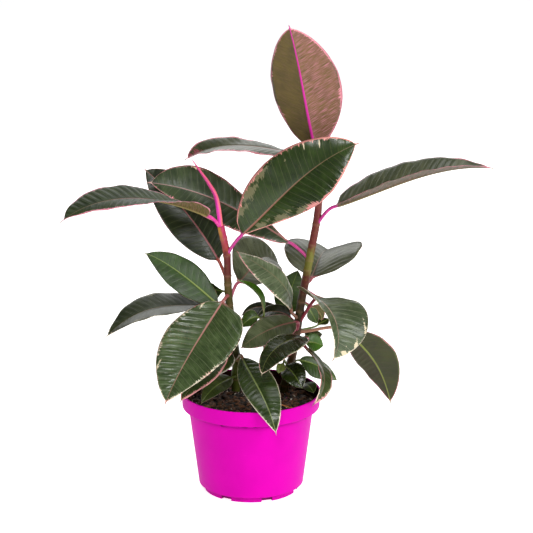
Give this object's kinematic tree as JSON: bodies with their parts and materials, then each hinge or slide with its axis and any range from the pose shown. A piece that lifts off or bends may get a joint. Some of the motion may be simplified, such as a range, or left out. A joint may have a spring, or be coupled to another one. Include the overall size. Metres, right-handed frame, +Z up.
{
  "type": "potted rubber plant",
  "caption": "Rubber plant with variegated green and pink leaves on two stems, rooted in soil in a round tapered plastic pot.",
  "frame": {"origin": "middle of the pot's underside, on the surface that it stands on", "axes": "+Z up along the pot's axis, -Y towards the front, +X to the right seen from the front"},
  "size_m": [0.5117, 0.2475, 0.5769],
  "materials": {
    "pot": "smooth moulded plastic with a soft sheen",
    "soil": "damp bark compost with pale grit",
    "stem": "smooth red-brown bark with ringed leaf scars",
    "young_stem": "smooth green bark",
    "bud_sheath": "smooth pink sheath",
    "leaf": "waxy green leaf with pink and cream variegation"
  },
  "bodies": {
    "root": {"pot": "pot", "soil": "soil", "stem_right": "stem", "stem_left": "stem", "stem_shoot": "young_stem", "bud_sheath": "bud_sheath", "leaf_top": "leaf", "leaf_big_front": "leaf", "leaf_far_left": "leaf", "leaf_back_left": "leaf", "leaf_upper_left": "leaf", "leaf_back_lower_left": "leaf", "leaf_left_green": "leaf", "leaf_left_dark": "leaf", "leaf_left_grey": "leaf", "leaf_front_left": "leaf", "leaf_mid_back": "leaf", "leaf_mid_droop": "leaf", "leaf_right_back": "leaf", "leaf_right_long": "leaf", "leaf_right_front": "leaf", "leaf_right_hanging": "leaf", "leaf_inner_green": "leaf", "leaf_inner_olive": "leaf", "leaf_inner_dark": "leaf", "leaf_center_back": "leaf", "leaf_center_dark": "leaf", "leaf_center_mid": "leaf", "leaf_center_green": "leaf", "leaf_young_narrow": "leaf", "leaf_center_grey": "leaf", "leaf_center_front": "leaf", "leaf_front_hanging": "leaf", "leaf_low_left": "leaf", "leaf_left_rim": "leaf", "leaf_left_inner": "leaf", "leaf_low_right": "leaf", "leaf_right_rim": "leaf", "leaf_right_drape": "leaf", "leaf_low_sliver": "leaf", "leaf_low_pale": "leaf", "leaf_inner_low_dark": "leaf", "leaf_inner_low_bright": "leaf", "leaf_behind_high": "leaf", "leaf_behind_left": "leaf", "leaf_behind_right": "leaf"}
  },
  "joints": []
}
